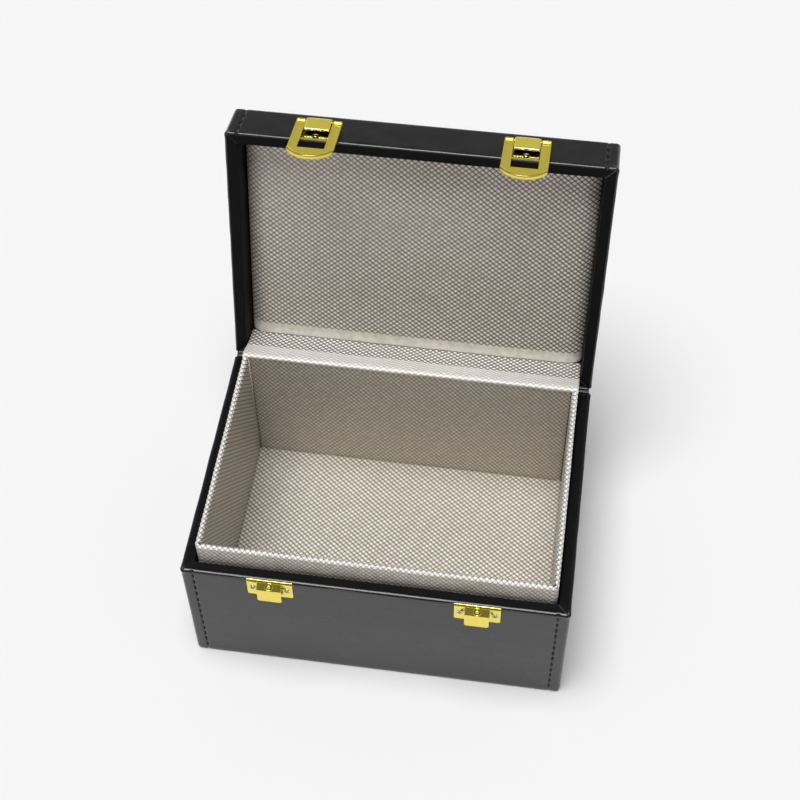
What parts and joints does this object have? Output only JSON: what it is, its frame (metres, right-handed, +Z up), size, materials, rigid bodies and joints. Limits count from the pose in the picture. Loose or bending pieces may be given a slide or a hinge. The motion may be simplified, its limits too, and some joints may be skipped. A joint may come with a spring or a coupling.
{
  "type": "faraday key box",
  "caption": "Small leather-covered box with a hinged lid, a conductive-fabric tray and lid panel, and two gold loop latches, for shielding car keys and phones.",
  "frame": {"origin": "centre of the base's footprint, on the surface it stands on", "axes": "+X to the right seen from the front, +Y to the back where the hinge is, +Z up"},
  "size_m": [0.165, 0.1694, 0.1906],
  "materials": {
    "leather": "smooth black imitation leather, low sheen",
    "board": "plain fibreboard, hidden under the coverings",
    "conductive_fabric": "silvery diamond-embossed conductive cloth",
    "gold": "bright gold-plated pressed sheet",
    "thread": "black twisted sewing thread"
  },
  "bodies": {
    "base": {"base_board_bottom": "board", "base_board_front": "board", "base_board_back": "board", "base_board_left": "board", "base_board_right": "board", "base_cover_bottom": "leather", "base_cover_front": "leather", "base_cover_back": "leather", "base_cover_left": "leather", "base_cover_right": "leather", "base_stitching": "thread", "left_catch_plate": "gold", "right_catch_plate": "gold", "catch_screws": "gold", "catch_rivets": "gold", "tray_board_bottom": "board", "tray_board_front": "board", "tray_board_back": "board", "tray_board_left": "board", "tray_board_right": "board", "tray_lining_bottom": "conductive_fabric", "tray_lining_front": "conductive_fabric", "tray_lining_back": "conductive_fabric", "tray_lining_left": "conductive_fabric", "tray_lining_right": "conductive_fabric", "tray_floor_lining": "conductive_fabric", "hinge_leather": "leather", "hinge_lining": "conductive_fabric"},
    "lid": {"lid_board_top": "board", "lid_board_front": "board", "lid_board_back": "board", "lid_board_left": "board", "lid_board_right": "board", "lid_cover_top": "leather", "lid_cover_front": "leather", "lid_cover_back": "leather", "lid_cover_left": "leather", "lid_cover_right": "leather", "lid_stitching": "thread", "panel_board": "board", "panel_cushion": "conductive_fabric", "lid_back_lining": "conductive_fabric", "left_latch_plate": "gold", "right_latch_plate": "gold", "latch_screws": "gold", "latch_rivets": "gold"},
    "left_loop": {"left_latch_loop": "gold", "left_latch_pin": "gold"},
    "right_loop": {"right_latch_loop": "gold", "right_latch_pin": "gold"}
  },
  "joints": [
    {"name": "lid_hinge", "type": "hinge", "parent": "base", "child": "lid", "pos_m": [0, 0.05875, 0.06915], "axis": [1, 0, 0], "range_deg": [0, 103.6], "deforming": ["hinge_leather", "hinge_lining"]},
    {"name": "left_loop_pivot", "type": "hinge", "parent": "lid", "child": "left_loop", "pos_m": [-0.044, 0.09864, 0.18235], "axis": [-1, 0, 0], "range_deg": [0, 109.7]},
    {"name": "right_loop_pivot", "type": "hinge", "parent": "lid", "child": "right_loop", "pos_m": [0.044, 0.09864, 0.18235], "axis": [-1, 0, 0], "range_deg": [0, 109.7]}
  ]
}
